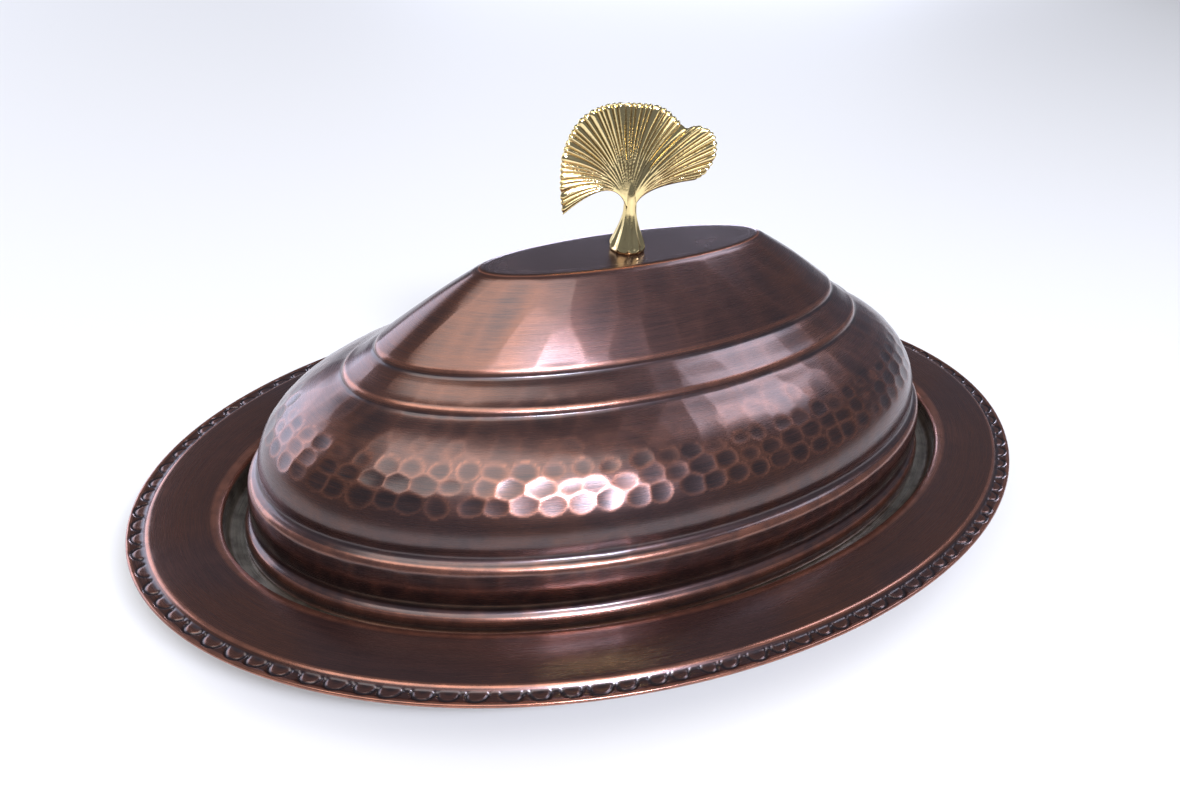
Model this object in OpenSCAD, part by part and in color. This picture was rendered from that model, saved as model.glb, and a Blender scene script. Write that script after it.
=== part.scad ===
// Oval serving tray of hammered copper, with a domed lid and a cast leaf knob.
// X runs along the tray, Z = 0 is the surface it stands on, and the origin is at its centre.

/* [Tray] */
// Length over the rolled edge
tray_length = 360; // [340:5:400]
// Width over the rolled edge
tray_width = 250; // [240:5:280]
// Height of the rolled edge above the table
edge_height = 26; // [24:1:32]
// Thickness of the copper sheet
sheet = 1.2; // [1:0.1:1.4]
// Width of the stamped border, from the rolled edge to the step up to the brim
border_width = 5.6; // [5:0.2:9]
// Height of that step
border_step = 1.5; // [1:0.1:2]
// Width of border and brim together, from the edge to the mouth of the well
brim_width = 30.5; // [28:0.5:34]
// Depth from the rolled edge down to the ledge that the lid stands on
ledge_depth = 8; // [6:0.5:10]
// Width of the ledge
ledge_width = 9; // [8:0.5:11]

/* [Lid] */
// Gap between the mouth of the well and the lid's foot
lid_gap = 7; // [6:0.5:8]
// Height of the bottom band above the rolled edge
band_height = 17; // [14:1:20]
// Distance from the lid's centre to the middle of the dome's arc, along the tray
dome_centre = 60; // [58:1:62]
// Sideways reach of the dome's arc
dome_reach = 75; // [73:1:77]
// Upward reach of the dome's arc
dome_rise = 41.5; // [38:0.5:45]
// Where the dome's arc stops under the second tier, in degrees
dome_turn = 53; // [50:1:56]
// Width of the second tier
tier_width = 9; // [7:1:11]
// Fall of the second tier over its width
tier_fall = 5.6; // [3:0.2:6.4]
// How far each lip stands over the tier below it
lip_drop = 3; // [2.4:0.1:3.6]
// Height of the flat top above the rolled edge
top_height = 84.7; // [80:0.5:90]
// Length of the flat top
top_length = 112; // [104:1:120]
// Width of the flat top
top_width = 30; // [26:1:36]

/* [Knob] */
// Diameter of the knob's foot
foot_d = 14; // [13:0.5:16]
// Diameter of the neck
neck_d = 4.6; // [4.4:0.1:5.4]
// Height of the neck above the lid
neck_height = 14.8; // [14:0.2:16]
// Height of the point that the leaf's ribs spread from
fan_height = 20.2; // [19:0.2:22]
// Scale of the leaf
leaf_scale = 0.89; // [0.8:0.01:1]
// Turn of the leaf about the screw, in degrees from the tray's length
leaf_turn = -14; // [-30:1:30]
// Thickness of the leaf at its rim
leaf_rim = 2; // [1.8:0.1:2.6]
// Thickness of the leaf at its root
leaf_root = 3.6; // [3:0.1:4]

/* [Screw] */
// Thread diameter (M4)
thread_d = 4; // [4:0.1:4]
// Length under the head
screw_length = 10; // [8:1:10]
// Diameter of the pan head
head_d = 8; // [7:0.5:8]
// Height of the pan head
head_height = 3; // [2.4:0.1:3.2]
// Outer diameter of the flat washer
washer_d = 9; // [8:0.5:10]
// Thickness of the flat washer
washer_t = 0.8; // [0.6:0.1:1]
// Outer diameter of the lock washer
lock_d = 7.6; // [7:0.1:8]
// Thickness of the lock washer
lock_t = 0.9; // [0.8:0.1:1.2]

/* [Hidden] */

copper = "#5a322b";
brass = "#d8b25a";
steel = "#b9bcc0";

oval_steps = 72;        // sides of every oval ring
arc_steps = 9;          // rings along the dome's arc
round_steps = 48;       // sides of the knob's and the screw's round shapes
leaf_across = 26;       // columns of the leaf, from its left edge to its right edge
leaf_along = 9;         // rows of the leaf, from its root to its rim
clearance_d = 4.5;      // hole in the lid
washer_bore = 4.3;
bore_depth = 8.5;       // threaded hole in the knob
lock_gap = 0.8;         // split in the lock washer
recess_width = 1;       // cross recess in the screw's head
recess_reach = 4.4;
recess_depth = 1.8;
cut = 0.01;             // how far a cutting shape runs past the face it cuts

edge_r = 0.8;                                     // radius of the rolled edge
foot_inset = brim_width + lid_gap;                // lid's foot, inwards from the tray's edge
dome_inset = tray_length / 2 - dome_centre - dome_reach; // foot of the dome
top_z = edge_height + top_height;                 // upper face of the flat top
under_top = top_z - sheet;                        // lower face of the flat top
bore_r = thread_d / 2;

// A ring is [half length, half width, height]. This one is a given distance inside the tray's edge.
function ring_at(inset, above_edge) =
    [tray_length / 2 - inset, tray_width / 2 - inset, edge_height + above_edge];

// Upward side of the sheet at ring i of a skin, as [sideways, up]
function facing(skin, i) =
    let (before = skin[max(i - 1, 0)], after = skin[min(i + 1, len(skin) - 1)])
    let (run = after[0] - before[0], rise = after[2] - before[2])
    [-rise, run] / norm([run, rise]);

// The same skin on the other side of the sheet
function other_side(skin) = [
    for (i = [0 : len(skin) - 1]) let (n = facing(skin, i) * sheet)
    [skin[i][0] - n[0], skin[i][1] - n[0], skin[i][2] - n[1]]
];

function reversed(list) = [for (i = [len(list) - 1 : -1 : 0]) list[i]];

function oval_points(ring) = [
    for (i = [0 : oval_steps - 1]) let (t = 360 * i / oval_steps)
    [ring[0] * cos(t), ring[1] * sin(t), ring[2]]
];

// Closed shell through rings that start round one point of the centre line and end round another
module oval_shell(rings) {
    last = len(rings) - 1;
    top_pole = len(rings) * oval_steps;
    points = [
        for (ring = rings) each oval_points(ring),
        [0, 0, rings[0][2]],
        [0, 0, rings[last][2]]
    ];
    faces = [
        for (i = [0 : oval_steps - 1]) let (j = (i + 1) % oval_steps) each [
            [top_pole, j, i],
            [last * oval_steps + i, last * oval_steps + j, top_pole + 1]
        ],
        for (k = [0 : last - 1], i = [0 : oval_steps - 1])
        let (j = (i + 1) % oval_steps, here = k * oval_steps, next = here + oval_steps) each [
            [here + i, here + j, next + j],
            [here + i, next + j, next + i]
        ]
    ];
    polyhedron(points, faces);
}

// Tray: flat bottom, well, ledge, mouth, dished brim, step and stamped border
ledge_inset = brim_width + 3;
wall_inset = ledge_inset + ledge_width;
brim_z = 0.35 + border_step;
bottom_z = sheet - edge_height;
tray_top = [
    ring_at(wall_inset + 13, bottom_z),
    ring_at(wall_inset + 7.5, bottom_z + 0.4),
    ring_at(wall_inset + 4.8, bottom_z + 2.2),
    ring_at(wall_inset + 3.4, bottom_z + 5),
    ring_at(wall_inset, -ledge_depth - 2.8),
    ring_at(wall_inset - 0.6, -ledge_depth - 1.3),
    ring_at(wall_inset - 1.7, -ledge_depth - 0.3),
    ring_at(wall_inset - 3.2, -ledge_depth),
    ring_at(ledge_inset - 0.2, -ledge_depth),
    ring_at(ledge_inset - 1.3, -ledge_depth + 0.5),
    ring_at(ledge_inset - 1.8, -ledge_depth + 1.8),
    ring_at(brim_width + 0.4, -1.5),
    ring_at(brim_width, -0.3),
    ring_at(brim_width - 0.9, 0.5),
    ring_at(brim_width - 2.4, 0.8),
    ring_at(brim_width - 9, brim_z - 0.5),
    ring_at(border_width + 8, brim_z - 0.1),
    ring_at(border_width + 2.4, brim_z),
    ring_at(border_width + 1.2, brim_z - 0.2),
    ring_at(border_width + 0.4, brim_z - 0.8),
    ring_at(border_width - 0.2, brim_z - 1.3),
    ring_at(border_width - 1, 0.35),
    ring_at(2.2, 0.4)
];
rolled_edge = [
    ring_at(1.2, edge_r - 0.05),
    ring_at(edge_r, edge_r),
    ring_at(0.25, 0.55),
    ring_at(0, 0),
    ring_at(0.25, -0.55),
    ring_at(edge_r, -edge_r)
];

module tray_body() {
    color(copper) oval_shell(concat(tray_top, rolled_edge, reversed(other_side(tray_top))));
}

// Lid: flat top, upper cone, two lips, dome, bottom band and flared foot
dome_rings = [
    for (i = [0 : arc_steps]) let (turn = dome_turn * (1 - i / arc_steps))
    ring_at(dome_inset + dome_reach * (1 - cos(turn)), band_height + 0.6 + dome_rise * sin(turn))
];
dome_head = dome_rings[0];
// Rings given from a ring further down: inwards and upwards
function above(ring, inwards, up) = [ring[0] - inwards, ring[1] - inwards, ring[2] + up];
lower_lip = above(dome_head, 1.4 + lip_drop / 3, lip_drop - 0.2);
tier_head = above(lower_lip, tier_width, tier_fall);
upper_lip = above(tier_head, 1.4 + lip_drop / 3, lip_drop - 0.2);
top_ring = [top_length / 2, top_width / 2, top_z];
// Part of the way down the upper cone, which bulges a little
function on_cone(way) = top_ring + (upper_lip - top_ring) * way + [0, 0, 3 * way * (1 - way)];
lid_outside = concat(
    [
        top_ring - [6, 4, 0],
        top_ring - [0.7, 0.7, 0],
        top_ring - [0, 0, 0.3]
    ],
    [for (way = [0.04, 0.25, 0.5, 0.75, 0.93]) on_cone(way)],
    [
        upper_lip,
        above(upper_lip, -0.8, -1.1),
        above(upper_lip, -1, -1.9),
        above(tier_head, 0.6, 0.3),
        above(tier_head, -1, -0.5),
        above(lower_lip, 2.2, 1),
        lower_lip,
        above(lower_lip, -0.8, -1.1),
        above(lower_lip, -1, -1.9),
        above(dome_head, 0.6, 0.3)
    ],
    dome_rings,
    [
        ring_at(dome_inset - 0.9, band_height - 0.4),
        ring_at(dome_inset - 2.5, band_height - 1.2),
        ring_at(dome_inset - 3.6, band_height - 2.6),
        ring_at(dome_inset - 4.1, band_height - 4.4),
        ring_at(dome_inset - 4.7, band_height / 2),
        ring_at(dome_inset - 4.7, 1.6),
        ring_at(dome_inset - 4.1, 0.2),
        ring_at(dome_inset - 4.4, -0.9),
        ring_at(foot_inset + 1.4, -2.2),
        ring_at(foot_inset + 0.4, -3.8),
        ring_at(foot_inset, -5.6)
    ]
);
foot_rings = [ring_at(foot_inset, -ledge_depth), ring_at(foot_inset + sheet, -ledge_depth)];

module lid_shell() {
    color(copper) difference() {
        oval_shell(concat(lid_outside, foot_rings, reversed(other_side(lid_outside))));
        translate([0, 0, under_top - 2]) cylinder(d = clearance_d, h = sheet + 4, $fn = round_steps);
    }
}

// Knob: a flared stem with a threaded hole, and a ribbed fan-shaped leaf, all one casting
stem_outline = [
    [0, 0], [foot_d / 2 - 0.9, 0], [foot_d / 2, 1], [foot_d / 2 - 0.7, 2.7], [foot_d / 2 - 2, 5],
    [foot_d / 2 - 3.3, 7.8], [neck_d / 2 + 0.7, 11], [neck_d / 2 + 0.1, neck_height - 1.5],
    [neck_d / 2, neck_height], [neck_d / 2 + 0.4, neck_height + 2], [neck_d / 2 + 0.5, fan_height - 1],
    [neck_d / 2 - 0.8, fan_height + 1], [0, fan_height + 1.8]
];

// Rim of the leaf from its drooping left tip to its right tip, round the point the ribs spread from
leaf_rim_points = [
    [-27.5, -7], [-28.7, 4.5], [-27.5, 17], [-21.5, 27.5], [-11.5, 32.5], [0, 33], [11, 31.6],
    [17.6, 27], [19.6, 25.2], [24, 26.8], [29.6, 24], [31.2, 16.5], [28.6, 9], [25, 5.2]
];
leaf_root_points = [[-2.2, -4.5], [1.6, -4.5]];
// Points that bend the ribs of the left edge, the middle and the right edge
rib_bends = [[-7.8, 9.5], [-0.6, 11], [4.2, 3.2]];

// Point a given way along a smooth curve through a list of points
function curve_at(list, way) =
    let (spans = len(list) - 1, i = min(floor(way * spans), spans - 1), t = way * spans - i)
    let (a = list[max(i - 1, 0)], b = list[i], c = list[i + 1], d = list[min(i + 2, spans)])
    b + t / 2 * (c - a + t * (2 * a - 5 * b + 4 * c - d + t * (3 * b - 3 * c + d - a)));

// Bend of the leaf out of its plane: both lobes come forward and the middle lies back
function leaf_depth(across, along) =
    pow(along, 1.6) * (3.6 * cos(360 * (across - 0.04) * 1.25) - 1.6 * sin(360 * across) - 0.6);

function leaf_point(across, along, side) =
    let (rim = curve_at(leaf_rim_points, across))
    let (root = leaf_root_points[0] * (1 - across) + leaf_root_points[1] * across)
    let (bend = curve_at(rib_bends, across))
    let (p = root * pow(1 - along, 2) + bend * 2 * along * (1 - along) + rim * pow(along, 2))
    let (half = (leaf_root + (leaf_rim - leaf_root) * along) / 2)
    [p[0] * leaf_scale, side * half - leaf_depth(across, along), fan_height + p[1] * leaf_scale];

module leaf() {
    columns = leaf_across + 1;
    rows = leaf_along + 1;
    back = columns * rows;
    points = [
        for (side = [-1, 1], row = [0 : leaf_along], column = [0 : leaf_across])
        leaf_point(column / leaf_across, row / leaf_along, side)
    ];
    faces = [
        for (row = [0 : leaf_along - 1], column = [0 : leaf_across - 1])
        let (a = row * columns + column, b = a + 1, c = b + columns, d = a + columns) each [
            [a, c, b], [a, d, c],
            [back + a, back + b, back + c], [back + a, back + c, back + d]
        ],
        for (column = [0 : leaf_across - 1])
        let (low = column, high = leaf_along * columns + column) each [
            [low, low + 1, back + low + 1], [low, back + low + 1, back + low],
            [high, back + high + 1, high + 1], [high, back + high, back + high + 1]
        ],
        for (row = [0 : leaf_along - 1])
        let (left = row * columns, right = left + leaf_across) each [
            [left, back + left + columns, left + columns], [left, back + left, back + left + columns],
            [right, right + columns, back + right + columns], [right, back + right + columns, back + right]
        ]
    ];
    polyhedron(points, faces);
}

module leaf_knob() {
    color(brass) translate([0, 0, top_z]) difference() {
        union() {
            rotate_extrude($fn = round_steps) polygon(stem_outline);
            rotate([0, 0, leaf_turn]) leaf();
        }
        translate([0, 0, -cut]) cylinder(r = bore_r, h = bore_depth + cut, $fn = round_steps);
    }
}

// Washers and screw hang under the flat top, in this order
washer_z = under_top - washer_t;
lock_z = washer_z - lock_t;

module flat_washer() {
    color(steel) translate([0, 0, washer_z]) difference() {
        cylinder(d = washer_d, h = washer_t, $fn = round_steps);
        translate([0, 0, -1]) cylinder(d = washer_bore, h = washer_t + 2, $fn = round_steps);
    }
}

module lock_washer() {
    color(steel) translate([0, 0, lock_z]) difference() {
        cylinder(d = lock_d, h = lock_t, $fn = round_steps);
        translate([0, 0, -1]) cylinder(d = washer_bore, h = lock_t + 2, $fn = round_steps);
        translate([0, -lock_gap / 2, -1]) cube([lock_d, lock_gap, lock_t + 2]);
    }
}

module knob_screw() {
    color(steel) translate([0, 0, lock_z]) {
        cylinder(r = bore_r, h = screw_length, $fn = round_steps);
        difference() {
            rotate_extrude($fn = round_steps) polygon([
                [0, 0], [head_d / 2, 0], [head_d / 2, -head_height * 0.45], [head_d / 2 - 0.7, -head_height * 0.8],
                [head_d / 2 - 2, -head_height], [0, -head_height]
            ]);
            for (turn = [0, 90]) rotate([0, 0, turn])
                translate([-recess_reach / 2, -recess_width / 2, -head_height - cut])
                    cube([recess_reach, recess_width, recess_depth + cut]);
        }
    }
}

tray_body();
lid_shell();
leaf_knob();
knob_screw();
lock_washer();
flat_washer();
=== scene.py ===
"""Looks of an oval hammered copper serving tray with a domed lid and a cast brass leaf knob.

Sizes are in millimetres unless a name ends in _m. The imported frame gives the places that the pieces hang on.
"""
import math

import bmesh
import bpy
import numpy as np
from mathutils import Matrix, Vector


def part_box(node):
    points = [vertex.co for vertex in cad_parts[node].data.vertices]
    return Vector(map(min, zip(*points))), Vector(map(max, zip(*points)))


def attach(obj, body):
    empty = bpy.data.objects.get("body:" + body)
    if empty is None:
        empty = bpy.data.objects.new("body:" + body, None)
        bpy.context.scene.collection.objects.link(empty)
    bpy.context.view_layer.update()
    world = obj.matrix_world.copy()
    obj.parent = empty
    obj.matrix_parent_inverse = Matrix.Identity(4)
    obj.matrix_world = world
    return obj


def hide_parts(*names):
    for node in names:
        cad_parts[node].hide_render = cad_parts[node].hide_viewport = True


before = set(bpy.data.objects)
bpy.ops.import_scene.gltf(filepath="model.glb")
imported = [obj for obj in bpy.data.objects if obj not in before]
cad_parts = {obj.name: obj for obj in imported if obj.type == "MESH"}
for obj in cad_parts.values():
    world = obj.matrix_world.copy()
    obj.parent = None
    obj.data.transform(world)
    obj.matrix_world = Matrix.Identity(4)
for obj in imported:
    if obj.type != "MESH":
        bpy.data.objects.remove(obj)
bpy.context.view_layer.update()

# --------------------------------------------------------------------------------------------------
# Sizes

MM = 0.001
tray_low, tray_high = (Vector(corner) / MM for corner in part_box("tray_body"))
lid_low, lid_high = (Vector(corner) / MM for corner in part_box("lid_shell"))
knob_low, knob_high = (Vector(corner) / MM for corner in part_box("leaf_knob"))

HALF_LENGTH, HALF_WIDTH = tray_high.x, tray_high.y
SHEET = 1.2
LEDGE_DEPTH = 8
EDGE_Z = lid_low.z + LEDGE_DEPTH      # the rolled edge of the tray
TOP_Z = lid_high.z                    # the lid's flat top
BORDER = 5.6                          # width of the stamped border
BRIM = 30.5                           # from the rolled edge to the mouth of the well
FOOT = HALF_LENGTH - lid_high.x       # the lid's foot, inwards from the rolled edge
DOME_CENTRE, DOME_REACH, DOME_RISE = 60, 75, 41.5
DOME_TURN = math.radians(53)
DOME_FOOT = HALF_LENGTH - DOME_CENTRE - DOME_REACH
BAND_Z = 17                           # top of the lid's bottom band, above the rolled edge
TOP_HALF = (56, 15)                   # half length and half width of the flat top
rng = np.random.default_rng(7)


# --------------------------------------------------------------------------------------------------
# Oval sheets

def ring(inset, up):
    """Half length, half width and height of the oval that lies inset inside the tray's edge."""
    return np.array([HALF_LENGTH - inset, HALF_WIDTH - inset, EDGE_Z + up])


def smooth_path(points, spacing, fine=None):
    """Rings along a smooth curve through control rings, spacing apart, or closer where fine(ring) says so."""
    points = np.array(points, float)
    before = np.vstack([2 * points[:1] - points[1:2], points[:-1]])
    after = np.vstack([points[1:], 2 * points[-1:] - points[-2:-1]])
    rings = []
    for i in range(len(points) - 1):
        start, end = points[i], points[i + 1]
        span = math.hypot(end[0] - start[0], end[2] - start[2])
        lead = math.hypot(*(start - before[i])[[0, 2]]) or span
        tail = math.hypot(*(after[i + 1] - end)[[0, 2]]) or span
        slope_in = (end - before[i]) * span / (span + lead)
        slope_out = (after[i + 1] - start) * span / (span + tail)
        pace = fine((start + end) / 2) if fine else spacing
        steps = max(1, round(span / pace))
        for t in np.arange(steps) / steps:
            rings.append(
                (2 * t**3 - 3 * t**2 + 1) * start + (t**3 - 2 * t**2 + t) * slope_in
                + (3 * t**2 - 2 * t**3) * end + (t**3 - t**2) * slope_out
            )
    rings.append(points[-1])
    return np.array(rings)


def path_length(rings):
    """Distance along a profile at each of its rings."""
    steps = np.hypot(np.diff(rings[:, 0]), np.diff(rings[:, 2]))
    return np.concatenate([[0], np.cumsum(steps)])


def perimeter(rings):
    a, b = rings[:, 0], rings[:, 1]
    h = ((a - b) / (a + b)) ** 2
    return np.pi * (a + b) * (1 + 3 * h / (10 + np.sqrt(4 - 3 * h)))


def column_angles(count):
    """Angles that space the columns of an oval sheet evenly along the tray's edge."""
    fine = np.linspace(0, 2 * np.pi, 14401)
    steps = np.hypot(np.diff(HALF_LENGTH * np.cos(fine)), np.diff(HALF_WIDTH * np.sin(fine)))
    way = np.concatenate([[0], np.cumsum(steps)])
    return np.interp(np.arange(count) / count * way[-1], way, fine)


def oval_rows(rings, columns):
    """Points of an oval sheet, one row per ring."""
    t = column_angles(columns)
    x = rings[:, :1] * np.cos(t)
    y = rings[:, 1:2] * np.sin(t)
    z = np.repeat(rings[:, 2:], columns, axis=1)
    return np.stack([x, y, z], axis=2)


def sheet_grid(rings, columns):
    """Points and outward normals of an oval sheet."""
    points = oval_rows(rings, columns)
    around = np.roll(points, -1, axis=1) - np.roll(points, 1, axis=1)
    along = np.gradient(points, axis=0)
    normals = np.cross(along, around)
    return points, normals / np.maximum(np.linalg.norm(normals, axis=2, keepdims=True), 1e-9)


def convexity(rings, reach):
    """How sharply the sheet turns at each ring: above 0 on a raised edge, below 0 in a crease."""
    steps = np.diff(rings[:, [0, 2]], axis=0)
    heading = np.unwrap(np.arctan2(steps[:, 1], steps[:, 0]))
    way = path_length(rings)
    middle = (way[1:] + way[:-1]) / 2
    ahead = np.interp(way + reach, middle, heading)
    behind = np.interp(way - reach, middle, heading)
    return behind - ahead


def join_sheets(sheets):
    """One closed mesh from grids of points in order, each as wide as the last or half or twice as wide."""
    vertices, faces, start = [], [], 0
    previous = None
    for grid in sheets:
        rows, columns, _ = grid.shape
        index = start + np.arange(rows * columns).reshape(rows, columns)
        i, j = index, np.roll(index, -1, axis=1)
        quads = np.stack([i[:-1], j[:-1], j[1:], i[1:]], axis=2).reshape(-1, 4)
        if previous is not None:
            faces += stitch(previous, index[0])
        faces += quads[:, ::-1].tolist()
        vertices.append(grid.reshape(-1, 3))
        previous = index[-1]
        start += rows * columns
    return np.vstack(vertices), faces


def stitch(upper, lower):
    """Faces between two neighbouring rings whose column counts are equal or in the ratio two to one."""
    n = min(len(upper), len(lower))
    after = [(k + 1) % n for k in range(n)]
    if len(upper) == len(lower):
        return [[lower[k], lower[after[k]], upper[after[k]], upper[k]] for k in range(n)]
    if len(lower) > n:
        return [
            [lower[2 * k], lower[2 * k + 1], lower[2 * after[k]], upper[after[k]], upper[k]]
            for k in range(n)
        ]
    return [
        [lower[k], lower[after[k]], upper[2 * after[k]], upper[2 * k + 1], upper[2 * k]]
        for k in range(n)
    ]


def build_piece(name, vertices, faces, **fields):
    """A smooth-shaded mesh object, in metres, with a value per vertex for each named field."""
    mesh = bpy.data.meshes.new(name)
    vertices = np.maximum(np.asarray(vertices), [-HALF_LENGTH, -HALF_WIDTH, tray_low.z])
    mesh.from_pydata((vertices * MM).tolist(), [], faces)
    mesh.polygons.foreach_set("use_smooth", np.ones(len(mesh.polygons), bool))
    for field, values in fields.items():
        layer = mesh.attributes.new(field, "FLOAT", "POINT")
        layer.data.foreach_set("value", np.asarray(values, np.float32).ravel())
    mesh.validate()
    mesh.update()
    piece = bpy.data.objects.new(name, mesh)
    bpy.context.scene.collection.objects.link(piece)
    return piece


def soft_step(low, high, x):
    t = np.clip((x - low) / (high - low), 0, 1)
    return t * t * (3 - 2 * t)


# --------------------------------------------------------------------------------------------------
# Hammer marks

UNSTRUCK = 0.15         # how far under the surface a blow that misses is counted
RIDGE_SPREAD = 0.085    # difference in depth over which the ridge between two blows is rubbed bright
RIM_SPREAD = 0.07       # depth over which the rim of a lone blow is rubbed bright
RIM_SHARE = 0.6         # how bright that rim is beside a ridge
UNEVEN_DEPTH, UNEVEN_WIDTH, UNEVEN_HEIGHT = 0.14, 0.07, 0.09
REACH = 2.2             # how far a blow is worked out, in half heights


def mark(pitch, width, height, depth, loose, lean, rubbed):
    """One kind of hammer mark: spacing, half width, half height, depth, how unevenly it is placed, how
    much it leans, and how bright its ridges are rubbed."""
    return {
        "pitch": pitch, "width": width, "height": height, "depth": depth,
        "loose": loose, "lean": lean, "rubbed": rubbed,
    }


CONE_MARK = mark(10.5, 6.6, 17, 0.1, 0.08, 0.007, 0.16)
TIER_MARK = mark(10.5, 6.6, 9, 0.09, 0.1, 0.008, 0.16)
SHOULDER_MARK = mark(9.5, 6, 9, 0.1, 0.12, 0.009, 0.35)
FIRST_MARK = mark(9, 5.6, 5, 0.1, 0.14, 0.01, 0.6)
DIMPLE = mark(8.7, 4.75, 3.8, 0.24, 0.05, 0.01, 1.0)
DOME_FOOT_MARK = mark(12, 8, 8, 0.05, 0.25, 0.004, 0.1)
BAND_MARK = mark(9, 6, 6.5, 0.11, 0.25, 0.01, 0.3)
BOTTOM_MARK = mark(9.5, 6, 5, 0.12, 0.25, 0.004, 0.1)
BRIM_MARK = mark(9.5, 7, 5, 0.04, 0.3, 0.002, 0.08)
DIMPLE_ROW = 5.8        # between the rows of dimples
DIMPLE_START = 0.385    # share of the dome's height above the first row of dimples


class Blows:
    """One row of hammer blows round the sheet."""

    def __init__(self, along, pitch, width, height, depth, loose, lean, rubbed, shift=None):
        self.along, self.pitch, self.width, self.height = along, pitch, width, height
        self.depth, self.loose, self.lean, self.rubbed, self.shift = depth, loose, lean, rubbed, shift

    def strike(self, u, along, length, deepest, runner_up, rubbed):
        """Cuts this row into the relief: keeps the deepest and second deepest blow over each point."""
        middle = length[int(np.argmin(np.abs(along[:, 0] - self.along))), 0]
        count = max(6, round(middle / self.pitch))
        shift = rng.random() if self.shift is None else self.shift
        slide = rng.normal(0, self.loose, count)
        rise = rng.normal(0, self.loose * 0.5, count) * self.height
        depth = self.depth * (1 + rng.normal(0, UNEVEN_DEPTH, count))
        wide = self.width * (1 + rng.normal(0, UNEVEN_WIDTH, count))
        tall = self.height * (1 + rng.normal(0, UNEVEN_HEIGHT, count))
        lean_x, lean_y = rng.normal(0, self.lean, (2, count))
        base = np.floor(u * count - shift).astype(int)
        for step in (-1, 0, 1, 2):
            j = (base + step) % count
            across = u - (j + shift + slide[j]) / count
            across = (across - np.round(across)) * length
            down = along - self.along - rise[j]
            cut = depth[j] * (1 - (across / wide[j]) ** 2 - (down / tall[j]) ** 2)
            cut = cut + lean_x[j] * across + lean_y[j] * down
            runner_up[:] = np.maximum(runner_up, np.minimum(deepest, cut))
            rubbed[:] = np.where(cut > deepest, self.rubbed, rubbed)
            deepest[:] = np.maximum(deepest, cut)


def hammer(rings, columns, rows):
    """Depth of the marks at each point of a sheet, and 1 on the ridges that stand between them."""
    way = path_length(rings)
    u = np.broadcast_to(np.arange(columns) / columns, (len(rings), columns)).copy()
    along = np.repeat(way[:, None], columns, axis=1)
    length = np.repeat(perimeter(rings)[:, None], columns, axis=1)
    deepest = np.full(u.shape, -UNSTRUCK)
    runner_up = np.full(u.shape, -UNSTRUCK)
    rubbed = np.zeros(u.shape)
    reach = max(row.height for row in rows) * REACH
    for row in rows:
        near = np.abs(way - row.along) < reach
        a, b, c = deepest[near], runner_up[near], rubbed[near]
        row.strike(u[near], along[near], length[near], a, b, c)
        deepest[near], runner_up[near], rubbed[near] = a, b, c
    struck = soft_step(-0.09, 0.01, deepest)
    between = np.exp(-(((deepest - runner_up) / RIDGE_SPREAD) ** 2))
    rim = np.exp(-((deepest / RIM_SPREAD) ** 2)) * RIM_SHARE
    return np.maximum(deepest, 0), struck * rubbed * np.maximum(between, rim)


# --------------------------------------------------------------------------------------------------
# The lid

def on_dome(turn):
    inset = DOME_FOOT + DOME_REACH * (1 - math.cos(turn))
    return ring(inset, BAND_Z + 0.6 + DOME_RISE * math.sin(turn))


def above(a_ring, inwards, up):
    return a_ring + np.array([-inwards, -inwards, up])


DOME_HEAD = on_dome(DOME_TURN)
LOWER_LIP = above(DOME_HEAD, 2.4, 2.8)
TIER_HEAD = above(LOWER_LIP, 9, 5.6)
UPPER_LIP = above(TIER_HEAD, 2.4, 2.8)
TOP_RING = np.array([TOP_HALF[0], TOP_HALF[1], TOP_Z])


def on_cone(way):
    return TOP_RING + (UPPER_LIP - TOP_RING) * way + np.array([0, 0, 3 * way * (1 - way)])


def lid_profile():
    """Control rings of the lid's outside, from the flat top to the foot."""
    return [
        TOP_RING - [7, 4.5, 0],
        TOP_RING - [2.2, 1.8, 0],
        TOP_RING - [0.6, 0.6, 0.03],
        TOP_RING - [0.1, 0.1, 0.35],
        *(on_cone(way) for way in (0.05, 0.28, 0.5, 0.72, 0.92)),
        UPPER_LIP,
        above(UPPER_LIP, -0.8, -0.95),
        above(UPPER_LIP, -1.05, -1.8),
        above(TIER_HEAD, 1.1, 0.5),
        above(TIER_HEAD, 0.1, -0.1),
        above(TIER_HEAD, -1.4, -0.8),
        above(LOWER_LIP, 2.2, 1.2),
        LOWER_LIP,
        above(LOWER_LIP, -0.8, -0.95),
        above(LOWER_LIP, -1.05, -1.8),
        above(DOME_HEAD, 1.1, 0.6),
        *(on_dome(DOME_TURN * (1 - k / 9)) for k in range(10)),
        ring(DOME_FOOT - 0.8, BAND_Z - 0.3),
        ring(DOME_FOOT - 2.4, BAND_Z - 1.1),
        ring(DOME_FOOT - 3.6, BAND_Z - 2.6),
        ring(DOME_FOOT - 4.1, BAND_Z - 4.6),
        ring(DOME_FOOT - 4.7, BAND_Z / 2),
        ring(DOME_FOOT - 4.7, 1.8),
        ring(DOME_FOOT - 4.1, 0.3),
        ring(DOME_FOOT - 4.3, -0.8),
        ring(FOOT + 1.4, -2.1),
        ring(FOOT + 0.4, -3.7),
        ring(FOOT, -5.6),
        ring(FOOT, -LEDGE_DEPTH + 0.4),
        ring(FOOT + 0.2, -LEDGE_DEPTH),
    ]


def inner_side(points):
    """The rings on the other side of the sheet, in the same order."""
    before = np.vstack([points[:1], points[:-1]])
    after = np.vstack([points[1:], points[-1:]])
    run, rise = after[:, 0] - before[:, 0], after[:, 2] - before[:, 2]
    long = np.maximum(np.hypot(run, rise), 1e-9)
    out, up = -rise / long * SHEET, run / long * SHEET
    return points - np.stack([out, out, up], axis=1)


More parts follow.
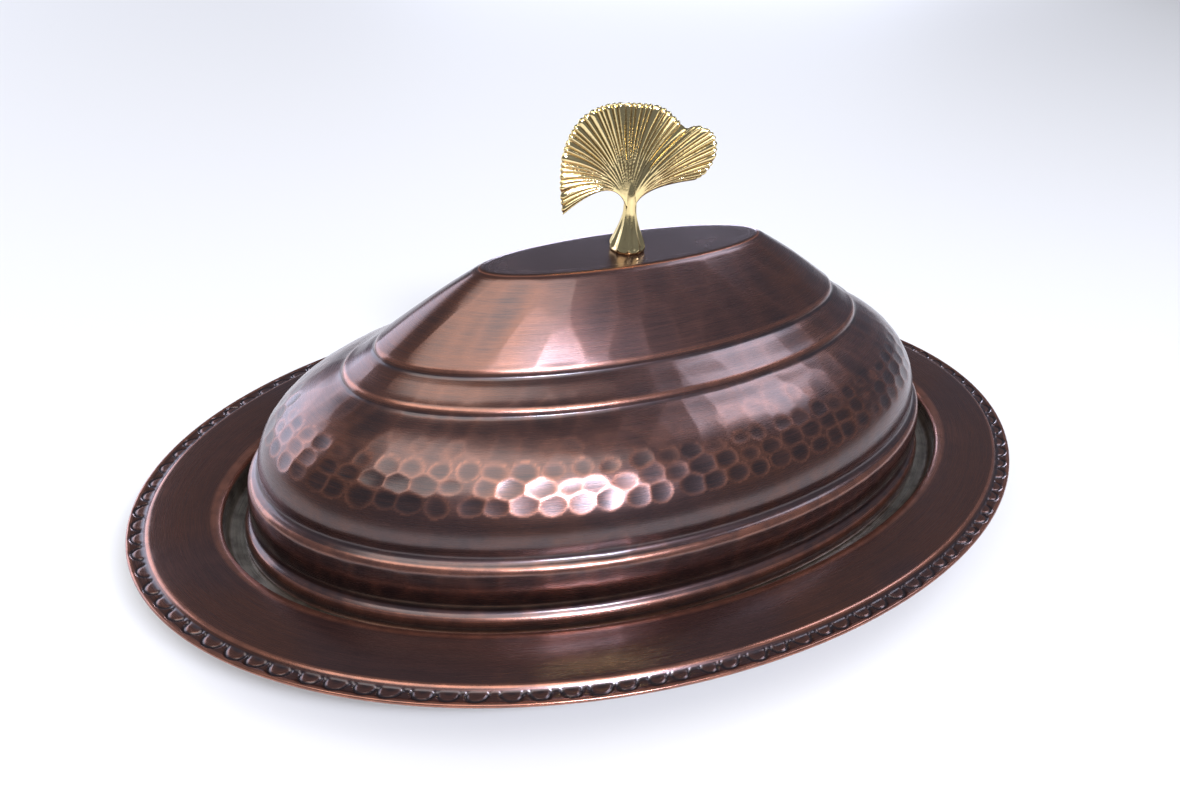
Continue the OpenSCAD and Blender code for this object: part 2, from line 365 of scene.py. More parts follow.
def lid_blows(rings):
    """The rows of hammer marks on the lid, placed by height on its profile."""
    way = path_length(rings)

    def at(a_ring):
        gap = np.hypot(rings[:, 0] - a_ring[0], rings[:, 2] - a_ring[2])
        return way[int(np.argmin(gap))]

    cone_top, cone_low = at(TOP_RING), at(UPPER_LIP)
    tier_top, tier_low = at(TIER_HEAD), at(LOWER_LIP)
    dome_top, dome_low = at(DOME_HEAD), at(on_dome(0))
    band_top, band_low = dome_low + 5, at(ring(DOME_FOOT - 4.7, 1.8))
    cone, dome = cone_low - cone_top, dome_low - dome_top
    rows = [Blows(cone_top + cone * share, **CONE_MARK) for share in (0.25, 0.8)]
    rows.append(Blows((tier_top + tier_low) / 2, **TIER_MARK))
    rows += [Blows(dome_top + down, **SHOULDER_MARK) for down in (4, 14)]
    first = dome_top + dome * DIMPLE_START
    rows.append(Blows(first - 7, **FIRST_MARK))
    rows += [Blows(first + DIMPLE_ROW * k, **DIMPLE, shift=0.5 * k) for k in range(3)]
    rows += [Blows(first + DIMPLE_ROW * 2 + down, **DOME_FOOT_MARK) for down in (9, 17)]
    rows += [Blows(band_top + (band_low - band_top) * share, **BAND_MARK) for share in (0.15, 0.6, 1.0)]
    return rows


def repeated(values, columns):
    """One value per ring, given to every point of that ring."""
    return np.repeat(np.asarray(values, float)[:, None], columns, axis=1).ravel()


LID_COLUMNS = 1440
LID_STEP, FINE_STEP = 1.15, 0.62       # between the mesh's rings, and where the dimples are


def make_lid():
    dimples = (on_dome(DOME_TURN * 0.62)[2], on_dome(DOME_TURN * 0.08)[2])

    def pace(a_ring):
        return FINE_STEP if dimples[1] < a_ring[2] < dimples[0] else LID_STEP

    outer = smooth_path(lid_profile(), LID_STEP, pace)
    columns = LID_COLUMNS
    cut, ridge = hammer(outer, columns, lid_blows(outer))
    off_crown = soft_step(TOP_Z - 0.3, TOP_Z - 1.6, outer[:, 2])[:, None]
    cut, ridge = cut * off_crown, ridge * off_crown
    points, normals = sheet_grid(outer, columns)
    turn = convexity(outer, 0.85)
    flat = np.exp(-(turn / 0.25) ** 2)[:, None]
    points = points - normals * (cut * (0.15 + 0.85 * flat))[:, :, None]
    inner = inner_side(smooth_path(lid_profile()[:-2], 2.6))[::-1]
    foot = ring(FOOT + SHEET, -LEDGE_DEPTH)[None]
    under = np.vstack([foot, inner])
    inside, _ = sheet_grid(under, columns // 2)
    vertices, faces = join_sheets([points, inside])
    n_out, n_in = points[:, :, 0].size, inside[:, :, 0].size
    top_pole, low_pole = len(vertices), len(vertices) + 1
    vertices = np.vstack([vertices, [0, 0, TOP_Z], [0, 0, TOP_Z - SHEET]])
    faces += [[top_pole, i, (i + 1) % columns] for i in range(columns)]
    half = columns // 2
    last = n_out + n_in - half
    faces += [[low_pole, last + (i + 1) % half, last + i] for i in range(half)]
    crown = soft_step(TOP_Z - 0.35, TOP_Z - 0.05, outer[:, 2])
    # painted shade: 1 low on the dome and over the band, fading out upwards over 11 mm
    dark_foot = soft_step(dimples[1] + 14, dimples[1] + 3, outer[:, 2])
    nothing = np.zeros(n_in + 2)
    lid = build_piece(
        "lid", vertices, faces,
        ridge=np.concatenate([ridge.ravel(), nothing]),
        cut=np.concatenate([cut.ravel(), nothing]),
        turn=np.concatenate([repeated(turn, columns), nothing]),
        way=np.concatenate([
            repeated(path_length(outer), columns), repeated(path_length(under), half), [0, 0],
        ]),
        crown=np.concatenate([repeated(crown, columns), np.zeros(n_in), [1, 0]]),
        dark_foot=np.concatenate([repeated(dark_foot, columns), nothing]),
        lining=np.concatenate([np.zeros(n_out), np.ones(n_in), [0, 1]]),
    )
    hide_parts("lid_shell")
    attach(lid, "lid")
    return lid


# --------------------------------------------------------------------------------------------------
# The tray

BRIM_Z = 1.85                          # highest part of the brim, above the rolled edge
LEDGE = BRIM + 3                       # outer side of the ledge, inwards from the rolled edge
WALL = LEDGE + 9                       # inner side of the ledge
BOTTOM_Z = SHEET - EDGE_Z
EDGE_R = 0.8
ARC_PITCH, ARC_DEPTH, ARC_REACH = 8.7, 0.5, 3.25
TRAY_COLUMNS, BORDER_COLUMNS = 1200, 2400


def well_profile():
    """Control rings of the tray's upper side, from the flat bottom out to the step beside the border."""
    return [
        ring(WALL + 16, BOTTOM_Z),
        ring(WALL + 11, BOTTOM_Z + 0.05),
        ring(WALL + 7.5, BOTTOM_Z + 0.5),
        ring(WALL + 4.8, BOTTOM_Z + 2.2),
        ring(WALL + 3.4, BOTTOM_Z + 5),
        ring(WALL + 1.6, -LEDGE_DEPTH - 8),
        ring(WALL, -LEDGE_DEPTH - 2.8),
        ring(WALL - 0.6, -LEDGE_DEPTH - 1.3),
        ring(WALL - 1.7, -LEDGE_DEPTH - 0.3),
        ring(WALL - 3.2, -LEDGE_DEPTH),
        ring(LEDGE - 0.2, -LEDGE_DEPTH),
        ring(LEDGE - 1.3, -LEDGE_DEPTH + 0.5),
        ring(LEDGE - 1.8, -LEDGE_DEPTH + 1.8),
        ring(BRIM + 0.4, -1.5),
        ring(BRIM, -0.3),
        ring(BRIM - 0.9, 0.5),
        ring(BRIM - 2.4, 0.8),
        ring(BRIM - 9, BRIM_Z - 0.5),
        ring(BORDER + 8, BRIM_Z - 0.1),
        ring(BORDER + 2.4, BRIM_Z),
    ]


def border_profile():
    """Control rings from the brim over the step and the stamped border to the rolled edge's underside."""
    return [
        ring(BORDER + 2.4, BRIM_Z),
        ring(BORDER + 1.2, BRIM_Z - 0.2),
        ring(BORDER + 0.4, BRIM_Z - 0.8),
        ring(BORDER - 0.2, BRIM_Z - 1.3),
        ring(BORDER - 1, 0.35),
        ring(2.2, 0.4),
        ring(1.4, 0.62),
        ring(EDGE_R, EDGE_R - 0.05),
        ring(0.2, 0.5),
        ring(0, 0),
        ring(0.2, -0.5),
        ring(EDGE_R, -EDGE_R),
    ]


def stamped_arcs(rings, columns):
    """Depth of the row of half-moon punch marks: round side to the edge, open towards the brim."""
    inset = (HALF_LENGTH - rings[:, 0])[:, None]
    length = float(perimeter(rings).mean())
    count = round(length / ARC_PITCH)
    slide = rng.normal(0, 0.07, count)
    lean = rng.normal(0, 0.12, count)
    depth = ARC_DEPTH * (1 + rng.normal(0, 0.16, count))
    reach = ARC_REACH * (1 + rng.normal(0, 0.05, count))
    u = np.broadcast_to(np.arange(columns) / columns, (len(rings), columns))
    base = np.floor(u * count).astype(int)
    relief = np.zeros(u.shape)
    bright = np.zeros(u.shape)
    for step in (-1, 0, 1):
        j = (base + step) % count
        across = u - (j + 0.5 + slide[j]) / count
        across = (across - np.round(across)) * length
        down = inset - (BORDER - 0.5)
        across = across + lean[j] * down
        off = np.hypot(across, down) - reach[j]
        open_side = soft_step(0.5, -0.4, down)
        groove = np.exp(-(off / 0.5) ** 2) * open_side
        tongue = np.exp(-((off + 1.35) / 0.85) ** 2) * open_side * (off < 0.2)
        relief = np.maximum(relief, groove * depth[j])
        bright = np.maximum(bright, tongue)
    return relief, bright


def make_tray():
    coarse, fine = TRAY_COLUMNS, BORDER_COLUMNS
    well = smooth_path(well_profile(), 2.0)
    border = smooth_path(border_profile(), 0.42)
    way = path_length(well)
    flat_brim = [k for k in range(len(well)) if well[k, 2] > EDGE_Z + 0.4]
    brim_start = way[flat_brim[0]]
    rows = [Blows(brim_start + 3 + 5.2 * k, **BRIM_MARK) for k in range(5)]
    rows += [Blows(4 + 7 * k, **BOTTOM_MARK) for k in range(2)]
    cut, ridge = hammer(well, coarse, rows)
    points, normals = sheet_grid(well, coarse)
    points = points - normals * cut[:, :, None]
    arcs, bright = stamped_arcs(border, fine)
    rim, rim_normals = sheet_grid(border, fine)
    rim = rim - rim_normals * arcs[:, :, None]
    under = inner_side(smooth_path(well_profile() + border_profile()[1:6], 3.4))[::-1]
    below, _ = sheet_grid(under, coarse // 2)
    step_in = oval_rows(border[-1:] - np.array([[0.5, 0.5, 0.04]]), coarse)
    vertices, faces = join_sheets([points, rim[1:], step_in, below])
    n_well, n_rim, n_below = points[:, :, 0].size, rim[1:, :, 0].size, below[:, :, 0].size
    middle, underneath = len(vertices), len(vertices) + 1
    vertices = np.vstack([vertices, [0, 0, SHEET], [0, 0, 0]])
    faces += [[middle, i, (i + 1) % coarse] for i in range(coarse)]
    half = coarse // 2
    last = n_well + n_rim + coarse + n_below - half
    faces += [[underneath, last + (i + 1) % half, last + i] for i in range(half)]
    tail = np.zeros(coarse + n_below + 2)
    tinned = soft_step(-0.6, -2.2, well[:, 2] - EDGE_Z)
    border_way = path_length(border)[1:] + way[-1]
    under_way = np.concatenate([np.zeros(coarse), repeated(path_length(under), half), [0, 0]])
    well_turn = repeated(convexity(well, 1.8), coarse)
    border_turn = repeated(convexity(border, 0.8)[1:], fine)
    tray = build_piece(
        "tray", vertices, faces,
        ridge=np.concatenate([ridge.ravel(), np.zeros(n_rim), tail]),
        cut=np.concatenate([cut.ravel(), np.zeros(n_rim), tail]),
        turn=np.concatenate([well_turn, border_turn, tail]),
        way=np.concatenate([repeated(way, coarse), repeated(border_way, fine), under_way]),
        stamp=np.concatenate([np.zeros(n_well), arcs[1:].ravel(), tail]),
        tongue=np.concatenate([np.zeros(n_well), bright[1:].ravel(), tail]),
        lining=np.concatenate([repeated(tinned, coarse), np.zeros(n_rim + coarse + n_below), [1, 0]]),
    )
    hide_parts("tray_body")
    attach(tray, "tray")
    return tray


# --------------------------------------------------------------------------------------------------
# The knob

LEAF_SCALE = 0.89
LEAF_TURN = math.radians(-14)
RIB_ROOT = 20.2                       # height of the point that the ribs spread from, above the lid
RIBS = 46
FOOT_SIDES = 10
FOOT_TURN = math.radians(66)          # where the first facet of the stem's foot starts
BORE_R, BORE_DEPTH = 2.1, 8.5         # the threaded hole for the screw
GRAIN = 0.2                           # size of the mesh's faces

# Rim of the leaf from the tip of its drooping lobe to its other tip, round the ribs' starting point
LEAF_RIM = np.array([
    [-27.5, -7], [-28.7, 4.5], [-27.5, 17], [-21.5, 27.5], [-11.5, 32.5], [0, 33], [11, 31.6],
    [17.6, 27], [19.6, 25.2], [24, 26.8], [29.6, 24], [31.2, 16.5], [28.6, 9], [25, 5.2],
])
LEAF_ROOT = np.array([[-2.2, -4.5], [1.6, -4.5]])
RIB_BENDS = np.array([[-7.8, 9.5], [-0.6, 11], [4.2, 3.2]])


def curve_at(points, way):
    """Points a given way, from 0 to 1, along a smooth curve through a list of points."""
    spans = len(points) - 1
    i = np.minimum(np.floor(way * spans).astype(int), spans - 1)
    t = (way * spans - i)[..., None]
    a, b = points[np.maximum(i - 1, 0)], points[i]
    c, d = points[i + 1], points[np.minimum(i + 2, spans)]
    return b + t / 2 * (c - a + t * (2 * a - 5 * b + 4 * c - d + t * (3 * b - 3 * c + d - a)))


def leaf_side(across, along, side):
    """One face of the leaf: ribs that part once on their way to a scalloped rim."""
    sample = np.linspace(0, 1, 2001)
    steps = np.linalg.norm(np.diff(curve_at(LEAF_RIM, sample), axis=0), axis=1)
    share = np.interp(across, sample, np.concatenate([[0], np.cumsum(steps)]) / steps.sum())
    uneven = 0.004 * np.sin(2 * np.pi * 7.3 * share) + 0.003 * np.sin(2 * np.pi * 17.1 * share + 1)
    wave = np.abs(np.cos(np.pi * RIBS * (share + uneven)))
    wide_wave = np.abs(np.cos(np.pi * RIBS / 2 * (share + uneven)))
    parted = soft_step(0.35, 0.6, along)
    relief = wide_wave * (1 - parted) + wave * parted
    carve = (1 - relief) * 0.66 * soft_step(0.12, 0.7, along)
    scallop = 0.012 * (1 - wave) * soft_step(0.9, 1, along)
    reach = along - scallop
    rim = curve_at(LEAF_RIM, across)
    root = LEAF_ROOT[0] * (1 - across[..., None]) + LEAF_ROOT[1] * across[..., None]
    bend = curve_at(RIB_BENDS, across)
    t = reach[..., None]
    flat = root * (1 - t) ** 2 + bend * 2 * t * (1 - t) + rim * t**2
    wave_across = 3.6 * np.cos(2.5 * np.pi * (across - 0.04)) - 1.6 * np.sin(2 * np.pi * across) - 0.6
    bow = along**1.6 * wave_across
    half = (3.6 - 1.6 * along) / 2
    to_rim = (1 - along) * 26
    to_side = np.minimum(across, 1 - across) * 95 * along + 0.9 * (1 - along)
    edge = np.clip(np.minimum(to_rim, to_side), 0, 1)
    round_off = np.sqrt(np.maximum(1 - (1 - edge) ** 2, 0.02))
    thick = (half - carve) * round_off
    x, z = flat[..., 0] * LEAF_SCALE, RIB_ROOT + flat[..., 1] * LEAF_SCALE
    return np.stack([x, side * thick - bow, z], axis=-1)


def leaf_mesh():
    """The leaf as one closed grid, front and back."""
    columns, rows = 1100, 110
    across, along = np.meshgrid(np.linspace(0, 1, columns), np.linspace(0, 1, rows))
    front, back = leaf_side(across, along, -1), leaf_side(across, along, 1)
    count = columns * rows
    vertices = np.vstack([front.reshape(-1, 3), back.reshape(-1, 3)])
    turned = np.array(Matrix.Rotation(LEAF_TURN, 3, "Z"))
    vertices = vertices @ turned.T
    index = np.arange(count).reshape(rows, columns)
    quads = np.stack([index[:-1, :-1], index[:-1, 1:], index[1:, 1:], index[1:, :-1]], axis=2).reshape(-1, 4)
    faces = quads.tolist() + (quads[:, ::-1] + count).tolist()
    outline = np.concatenate([index[0], index[1:, -1], index[-1, -2::-1], index[-2:0:-1, 0]])
    following = np.roll(outline, -1)
    faces += np.stack([outline, outline + count, following + count, following], axis=1).tolist()
    return vertices, faces


# Radius of the stem at heights above the lid
STEM = np.array([
    [0, 6.2], [1, 7], [2.7, 6.4], [5, 5.3], [7.8, 4.1], [11, 3.05], [13.3, 2.45], [14.8, 2.3],
    [17, 2.3], [19.5, 2.1], [21.5, 1.7], [24, 1], [25.5, 0.3],
])
STEM_PASSES = 90        # of smoothing on its radius


def stem_mesh():
    """The flared stem: hollow-sided facets at the foot, each with a small bevel under it."""
    turns, levels = 256, 200
    z = np.linspace(0, STEM[-1, 0], levels)[:, None]
    theta = np.linspace(0, 2 * np.pi, turns, endpoint=False)[None]
    radius = np.interp(z, STEM[:, 0], STEM[:, 1])
    for _ in range(STEM_PASSES):
        radius[1:-1] = (radius[:-2] + 2 * radius[1:-1] + radius[2:]) / 4
    side = 2 * np.pi / FOOT_SIDES
    offset = (theta - FOOT_TURN) % side - side / 2
    hollow = (1 - (2 * offset / side) ** 2) * (1 - soft_step(8, 16, z)) * soft_step(0, 2.4, z)
    radius = radius * (1 - 0.13 * hollow)
    bevel = (6.0 + 0.62 * z) / np.cos(offset)
    radius = np.minimum(radius, bevel)
    points = np.stack([radius * np.cos(theta), radius * np.sin(theta), z + 0 * theta], axis=2)
    index = np.arange(levels * turns).reshape(levels, turns)
    after = np.roll(index, -1, axis=1)
    faces = np.stack([index[:-1], after[:-1], after[1:], index[1:]], axis=2).reshape(-1, 4).tolist()
    count = levels * turns
    circle = np.stack([np.cos(theta[0]), np.sin(theta[0])], axis=1) * BORE_R
    mouth, end = np.insert(circle, 2, 0, axis=1), np.insert(circle, 2, BORE_DEPTH, axis=1)
    low, high = count + np.arange(turns), count + turns + np.arange(turns)
    for inner, outer in ((low, index[0]), (high, low)):
        faces += np.stack([inner, np.roll(inner, -1), np.roll(outer, -1), outer], axis=1).tolist()
    faces += [high[::-1].tolist(), index[-1].tolist()]
    return np.vstack([points.reshape(-1, 3), mouth, end]), faces


def hollows(mesh, rounds):
    """How far each vertex lies under the mean of its neighbours: above 0 in a groove."""
    count = len(mesh.vertices)
    place = np.empty(count * 3)
    mesh.vertices.foreach_get("co", place)
    place = place.reshape(-1, 3)
    normal = np.empty(count * 3)
    mesh.vertices.foreach_get("normal", normal)
    normal = normal.reshape(-1, 3)
    ends = np.empty(len(mesh.edges) * 2, int)
    mesh.edges.foreach_get("vertices", ends)
    ends = ends.reshape(-1, 2)
    share = np.bincount(ends.ravel(), minlength=count)[:, None]
    mean = place.copy()
    for _ in range(rounds):
        total = np.zeros((count, 3))
        np.add.at(total, ends[:, 0], mean[ends[:, 1]])
        np.add.at(total, ends[:, 1], mean[ends[:, 0]])
        mean = (mean + total / share) / 2
    return ((mean - place) * normal).sum(axis=1)


def without_pockets(mesh):
    """Takes away any small closed pocket that the joining left inside the casting."""
    shape = bmesh.new()
    shape.from_mesh(mesh)
    unseen, skins = set(shape.verts), []
    while unseen:
        skin, front = set(), [unseen.pop()]
        while front:
            vertex = front.pop()
            skin.add(vertex)
            near = {edge.other_vert(vertex) for edge in vertex.link_edges} & unseen
            unseen -= near
            front += near
        skins.append(skin)
    skins.sort(key=len)
    bmesh.ops.delete(shape, geom=[vertex for skin in skins[:-1] for vertex in skin], context="VERTS")
    shape.to_mesh(mesh)
    shape.free()


def make_knob():
    """Leaf and stem, joined into one skin as they are in one casting."""
    leaf_points, leaf_faces = leaf_mesh()
    stem_points, stem_faces = stem_mesh()
    first = len(leaf_points)
    points = np.vstack([leaf_points, stem_points]) + np.array([0, 0, TOP_Z])
    faces = leaf_faces + [[k + first for k in face] for face in stem_faces]
    knob = build_piece("knob", points, faces)
    cast = knob.modifiers.new("one skin", "REMESH")
    cast.mode, cast.voxel_size, cast.use_smooth_shade = "VOXEL", GRAIN * MM, True
    polish = knob.modifiers.new("polish", "SMOOTH")
    polish.factor, polish.iterations = 0.5, 2
    shape = knob.evaluated_get(bpy.context.evaluated_depsgraph_get())
    mesh = bpy.data.meshes.new_from_object(shape)
    knob.modifiers.clear()
    without_pockets(mesh)
    knob.data = mesh
    place = np.empty(len(mesh.vertices) * 3)
    mesh.vertices.foreach_get("co", place)
    place = np.clip(place.reshape(-1, 3), np.array(knob_low) * MM, np.array(knob_high) * MM)
    mesh.vertices.foreach_set("co", place.ravel())
    mesh.update()
    depth = hollows(mesh, 6) / MM
    layer = mesh.attributes.new("hollow", "FLOAT", "POINT")
    layer.data.foreach_set("value", depth.astype(np.float32))
    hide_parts("leaf_knob")
    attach(knob, "lid")
    return knob


# --------------------------------------------------------------------------------------------------
# Finishes

class Value:
    """An output of a finish's node, with arithmetic."""

    def __init__(self, finish, socket):
        self.finish, self.socket = finish, socket

    def __add__(self, other):
        return self.finish.math("ADD", self, other)

    def __sub__(self, other):
        return self.finish.math("SUBTRACT", self, other)

    def __mul__(self, other):
        return self.finish.math("MULTIPLY", self, other)

    def __radd__(self, other):
        return self.finish.math("ADD", other, self)

    def __rsub__(self, other):
        return self.finish.math("SUBTRACT", other, self)

    def __rmul__(self, other):
        return self.finish.math("MULTIPLY", other, self)


MIX_SHARE, MIX_FIRST, MIX_SECOND, MIX_COLOUR = 0, 6, 7, 2    # sockets of the Mix node for colours


class Finish:
    """A procedural material for one of the object's surfaces."""

    def __init__(self, name):
        self.material = bpy.data.materials.new(name)
        self.material.use_nodes = True
        self.tree = self.material.node_tree
        self.shader = self.tree.nodes["Principled BSDF"]

    def feed(self, socket, value):
        if isinstance(value, Value):
            self.tree.links.new(value.socket, socket)
        else:
            socket.default_value = value

    def node(self, kind, settings, values, output=0):
        """Any node: its type, then its settings, then the values or links of its inputs."""
        made = self.tree.nodes.new(kind)
        for name, setting in settings.items():
            setattr(made, name, setting)
        for name, value in values.items():
            self.feed(made.inputs[name], value)
        return Value(self, made.outputs[output])

    def math(self, operation, *values):
        return self.node("ShaderNodeMath", {"operation": operation}, dict(enumerate(values)))

    def field(self, name):
        """A value that the mesh carries at each vertex."""
        return self.node("ShaderNodeAttribute", {"attribute_name": name}, {}, "Fac")

    def place(self, scale=(1, 1, 1)):
        """Position in millimetres, times a scale for each axis."""
        seen = self.node("ShaderNodeTexCoord", {}, {}, "Object")
        sizes = tuple(k / MM for k in scale)
        return self.node("ShaderNodeVectorMath", {"operation": "MULTIPLY"}, {0: seen, 1: sizes})

    def round_lines(self, way, fineness, stretch):
        """A position that changes fast across the profile and slowly round the piece."""
        flat = self.place((stretch, stretch, 0))
        lift = self.node("ShaderNodeCombineXYZ", {}, {"X": 0, "Y": 0, "Z": way * fineness})
        return self.node("ShaderNodeVectorMath", {"operation": "ADD"}, {0: flat, 1: lift})

    def noise(self, vector, scale, detail=3, roughness=0.5):
        values = {"Vector": vector, "Scale": scale, "Detail": detail, "Roughness": roughness}
        return self.node("ShaderNodeTexNoise", {}, values, "Fac")

    def step(self, low, high, value):
        """0 below low, 1 above high, smooth between."""
        values = {"Value": value, "From Min": low, "From Max": high, "To Min": 0, "To Max": 1}
        return self.node("ShaderNodeMapRange", {"interpolation_type": "SMOOTHSTEP"}, values)

    def mix(self, share, first, second):
        """A colour between two colours."""
        ends = [colour if isinstance(colour, Value) else (*colour, 1) for colour in (first, second)]
        values = {MIX_SHARE: share, MIX_FIRST: ends[0], MIX_SECOND: ends[1]}
        return self.node("ShaderNodeMix", {"data_type": "RGBA"}, values, MIX_COLOUR)

    def bump(self, height, distance, strength):
        values = {"Height": height, "Distance": distance * MM, "Strength": strength}
        return self.node("ShaderNodeBump", {}, values)

    def surface(self, **values):
        for name, value in values.items():
            self.feed(self.shader.inputs[name.replace("_", " ")], value)
        return self.material


PATINA = (0.1, 0.042, 0.032)          # antiqued copper
WARM_PATINA = (0.14, 0.045, 0.018)    # where the patina is thin
DEEP_PATINA = (0.03, 0.018, 0.018)    # in creases and in the middle of the hammer marks
RUBBED = (0.46, 0.17, 0.095)          # where polishing has reached the copper
CROWN_PATINA = (0.085, 0.042, 0.028)  # the lid's flat top
# painted shade: a dark bluish brown standing in for the dark reflection low on the lid
LOWER_LID_PAINTED_SHADE = (0.04, 0.022, 0.022)    # on the lower part of the lid
# tin lining, painted darker than bright tin as shade for the narrow gap between lid and brim
TIN_WITH_GAP_SHADE = (0.25, 0.215, 0.16)
DULL_TIN = (0.08, 0.06, 0.038)
BRASS = (0.82, 0.65, 0.32)
# dark brass: tarnish in the cast skin, and painted shade in the grooves
BRASS_TARNISH_AND_SHADE = (0.2, 0.11, 0.03)
ZINC, DULL_ZINC = (0.66, 0.68, 0.7), (0.5, 0.5, 0.46)


def antiqued_copper(name, stamped):
    """Dark patinated copper, rubbed bright on its edges and ridges and tinned where it holds food."""
    f = Finish(name)
    way, turn, cut, ridge = f.field("way"), f.field("turn"), f.field("cut"), f.field("ridge")
    lining = f.field("lining")
    lines = f.noise(f.round_lines(way, 3.2, 0.05), 1.0, 4, 0.6)
    bands = f.noise(f.round_lines(way, 0.55, 0.02), 1.0, 3, 0.5)
    cloud = f.noise(f.place(), 0.035, 4, 0.55)
    blotch = f.noise(f.place(), 0.16, 3, 0.6)
    grit = f.noise(f.place(), 1.9, 3, 0.6)
    uneven = f.step(0.3, 0.7, blotch)
    edge = f.step(0.14, 0.5, turn) * (0.35 + 0.4 * uneven)
    crease = f.step(0.15, 0.7, 0 - turn)
    rubbed_ridge = ridge * (0.35 + 0.5 * uneven)
    scratch = f.noise(f.round_lines(way, 5.5, 0.11), 1.0, 4, 0.7)
    worn = f.step(0.5, 0.72, cloud * 0.5 + lines * 0.25 + scratch * 0.25) * 0.2
    bright = f.math("MAXIMUM", f.math("MAXIMUM", edge, rubbed_ridge * 0.5), worn)
    warm = f.step(0.47, 0.6, f.noise(f.place(), 0.013, 2, 0.4)) * 0.75
    dark = f.step(0.06, 0.22, cut) * 0.5 + f.step(0.55, 0.4, scratch) * 0.35 + f.step(0.6, 0.4, bands) * 0.15
    darkness = f.math("MINIMUM", dark + crease * 0.9, 1.0)
    base = f.mix(darkness, f.mix(warm, PATINA, WARM_PATINA), DEEP_PATINA)
    if stamped:
        stamp, tongue = f.field("stamp"), f.field("tongue")
        base = f.mix(f.step(0.04, 0.3, stamp) * 0.9, base, DEEP_PATINA)
        bright = f.math("MAXIMUM", bright, tongue * 0.12) * (1 - f.step(0.05, 0.25, stamp))
    else:
        crown = f.field("crown")
        base = f.mix(crown, base, CROWN_PATINA)
        crown_edge = f.step(0.1, 0.6, crown * (1 - crown) * 4)
        bright = f.math("MAXIMUM", bright, crown_edge * 0.95)
        # painted shade: the lower part of the lid is painted darker and bluer, for the dark reflection it
        # shows
        base = f.mix(f.field("dark_foot") * (0.42 + 0.5 * (1 - uneven)), base, LOWER_LID_PAINTED_SHADE)
    base = f.mix(bright, base, RUBBED)
    base = f.mix(f.step(0.35, 0.75, grit) * 0.1, base, DEEP_PATINA)
    # tin lining with tarnish blotches, painted dark as shade of the gap it shows in
    tin_with_gap_shade = f.mix(f.step(0.35, 0.7, blotch * 0.6 + lines * 0.4), TIN_WITH_GAP_SHADE, DULL_TIN)
    tinned = f.step(0.4, 0.6, lining + (blotch - 0.5) * 0.55)
    colour = f.mix(tinned, base, tin_with_gap_shade)
    rough = 0.17 + 0.13 * lines + 0.08 * cloud + 0.14 * crease - 0.04 * bright
    coat_weight = 0.6
    if not stamped:
        rough = rough - 0.02 * crown
        coat_weight = 0.7 - 0.5 * crown
    height = lines * 0.5 + scratch * 0.35 + bands * 0.15
    return f.surface(
        Base_Color=colour, Metallic=0.85, Roughness=rough,
        Coat_Weight=coat_weight, Coat_Roughness=0.2, Coat_IOR=1.65,
        Specular_Tint=(0.95, 0.93, 1.0, 1), Normal=f.bump(height, 0.05, 0.55),
    )


def cast_brass():
    """Polished yellow brass, darkened in its grooves by tarnish and by painted shade."""
    f = Finish("polished cast brass")
    hollow = f.field("hollow")
    skin = f.noise(f.place(), 1.1, 3, 0.55)
    fine = f.noise(f.place(), 6.5, 2, 0.5)
    groove = f.step(0.002, 0.035, hollow)
    # painted shade: the grooves are painted dark brass, partly tarnish, partly the shade that falls in them
    colour = f.mix(groove * 0.92, BRASS, BRASS_TARNISH_AND_SHADE)
    colour = f.mix(f.step(0.55, 0.75, skin) * 0.12, colour, BRASS_TARNISH_AND_SHADE)
    rough = 0.09 + 0.16 * groove + 0.04 * fine
    return f.surface(
        Base_Color=colour, Metallic=1.0, Roughness=rough, Normal=f.bump(skin * 0.8 + fine * 0.2, 0.12, 0.35),
    )


def zinc_steel():
    """Zinc plated steel of the screw and its washers."""
    f = Finish("zinc plated steel")
    turned = f.noise(f.place((1, 1, 6)), 1.4, 3, 0.5)
    stain = f.noise(f.place(), 0.5, 3, 0.5)
    colour = f.mix(f.step(0.4, 0.7, stain), ZINC, DULL_ZINC)
    rough = 0.26 + 0.14 * turned
    return f.surface(Base_Color=colour, Metallic=1.0, Roughness=rough, Normal=f.bump(turned, 0.03, 0.4))


def coat(piece, material):
    piece.data.materials.clear()
    piece.data.materials.append(material)


lid = make_lid()
tray = make_tray()
knob = make_knob()
coat(lid, antiqued_copper("antiqued copper of the lid", stamped=False))
coat(tray, antiqued_copper("antiqued copper of the tray", stamped=True))
coat(knob, cast_brass())
steel = zinc_steel()
for fastener in ("knob_screw", "lock_washer", "flat_washer"):
    coat(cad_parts[fastener], steel)


# --------------------------------------------------------------------------------------------------
# Floor, lights and camera

FLOOR_SIDE_M = 12
PAPER, PAPER_GLOW = (0.66, 0.64, 0.6), (1, 0.97, 0.9)


def make_floor():
    bpy.ops.mesh.primitive_plane_add(size=FLOOR_SIDE_M, location=(0, 0, 0))
    floor = bpy.context.object
    floor.name = "floor"
    paper = Finish("pale paper").surface(
        Base_Color=(*PAPER, 1), Emission_Color=(*PAPER_GLOW, 1), Emission_Strength=0.16, Roughness=0.7,
    )
    floor.data.materials.append(paper)


def aim(thing, place, target):
    thing.location = place
    thing.rotation_euler = (Vector(place) - Vector(target)).to_track_quat("Z", "Y").to_euler()


def direction(azimuth, elevation):
    """The way from the object to a light or the camera. Azimuth 0 is in front, 90 to the right."""
    a, e = math.radians(azimuth), math.radians(elevation)
    return Vector((math.sin(a) * math.cos(e), -math.cos(a) * math.cos(e), math.sin(e)))


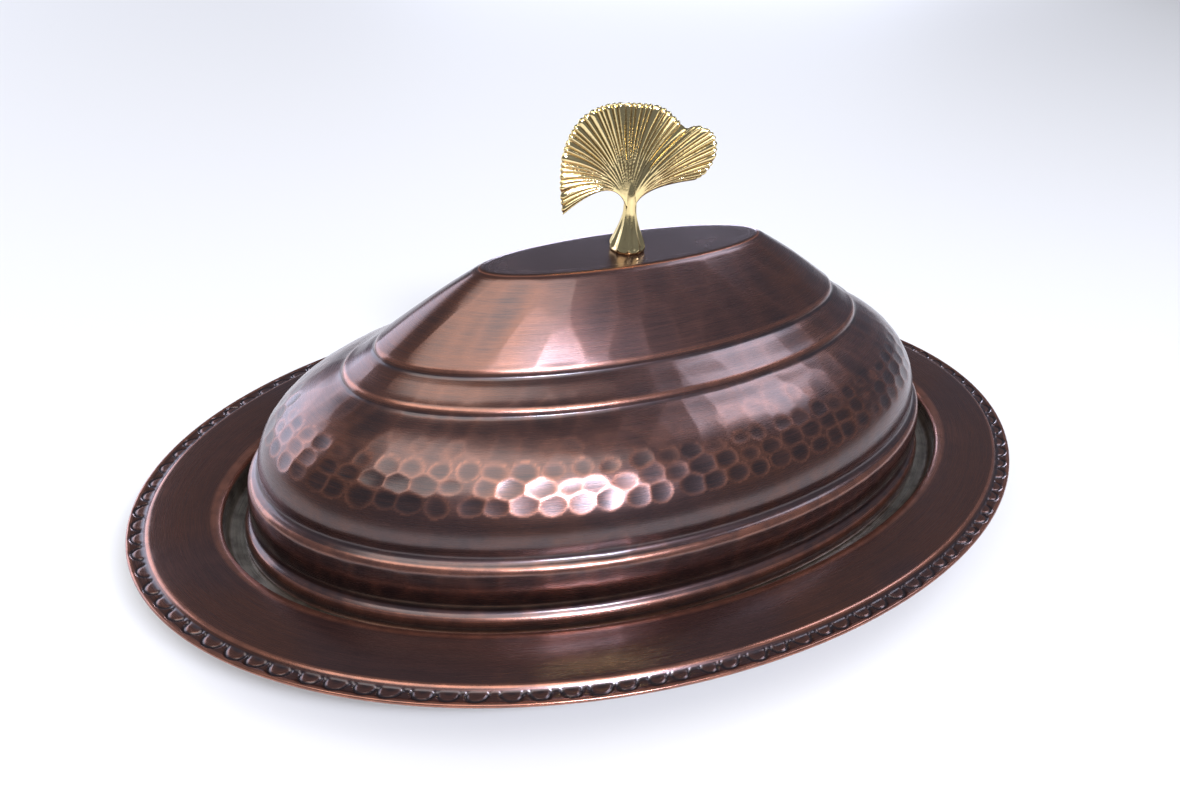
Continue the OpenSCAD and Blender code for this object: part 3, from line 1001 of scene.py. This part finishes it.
def panel(name, azimuth, elevation, distance, size, watts, colour, target=(0, 0, 0.08)):
    """A soft light of a given width and height, in metres."""
    place = Vector(target) + distance * direction(azimuth, elevation)
    lamp = bpy.data.lights.new(name, "AREA")
    lamp.shape, lamp.size, lamp.size_y = "RECTANGLE", size[0], size[1]
    lamp.energy, lamp.color = watts, colour
    holder = bpy.data.objects.new(name, lamp)
    bpy.context.scene.collection.objects.link(holder)
    aim(holder, place, target)


COOL, NEUTRAL = (0.74, 0.8, 1.0), (1.0, 0.99, 0.97)
WORLD_COLOUR, WORLD_STRENGTH = (0.74, 0.81, 1.0, 1), 0.24


def light_studio():
    world = bpy.data.worlds.new("studio")
    world.use_nodes = True
    background = world.node_tree.nodes["Background"]
    background.inputs["Color"].default_value = WORLD_COLOUR
    background.inputs["Strength"].default_value = WORLD_STRENGTH
    bpy.context.scene.world = world
    panel("overhead", -38, 63, 1.5, (1.5, 0.9), 12, NEUTRAL)
    panel("front spot", -1, 41, 1.5, (0.36, 0.2), 30, COOL)
    panel("right window", 85, 50, 1.6, (0.5, 0.5), 5, COOL)
    panel("left back", -142, 18, 1.8, (1.6, 1.2), 20, COOL)
    panel("right back", 150, 6, 1.8, (1.0, 0.25), 8, COOL)


VIEW_AZIMUTH, VIEW_ELEVATION, VIEW_ROLL = -29.56, 34.17, 4.33
VIEW_DISTANCE_M = 0.4028
LENS, SENSOR_WIDTH = 30.5, 36
SHIFT = (-0.0186, 0.0439)


def place_camera():
    back = direction(VIEW_AZIMUTH, VIEW_ELEVATION)
    data = bpy.data.cameras.new("camera")
    data.lens, data.sensor_width = LENS, SENSOR_WIDTH
    data.shift_x, data.shift_y = SHIFT
    data.clip_start, data.clip_end = 0.01, 50
    camera = bpy.data.objects.new("camera", data)
    bpy.context.scene.collection.objects.link(camera)
    camera.location = Vector((0, 0, EDGE_Z * MM)) + back * VIEW_DISTANCE_M
    level = back.to_track_quat("Z", "Y")
    camera.rotation_mode = "QUATERNION"
    camera.rotation_quaternion = level @ Matrix.Rotation(math.radians(VIEW_ROLL), 3, "Z").to_quaternion()
    bpy.context.scene.camera = camera
    bpy.context.scene.view_settings.view_transform = "Standard"


make_floor()
light_studio()
place_camera()
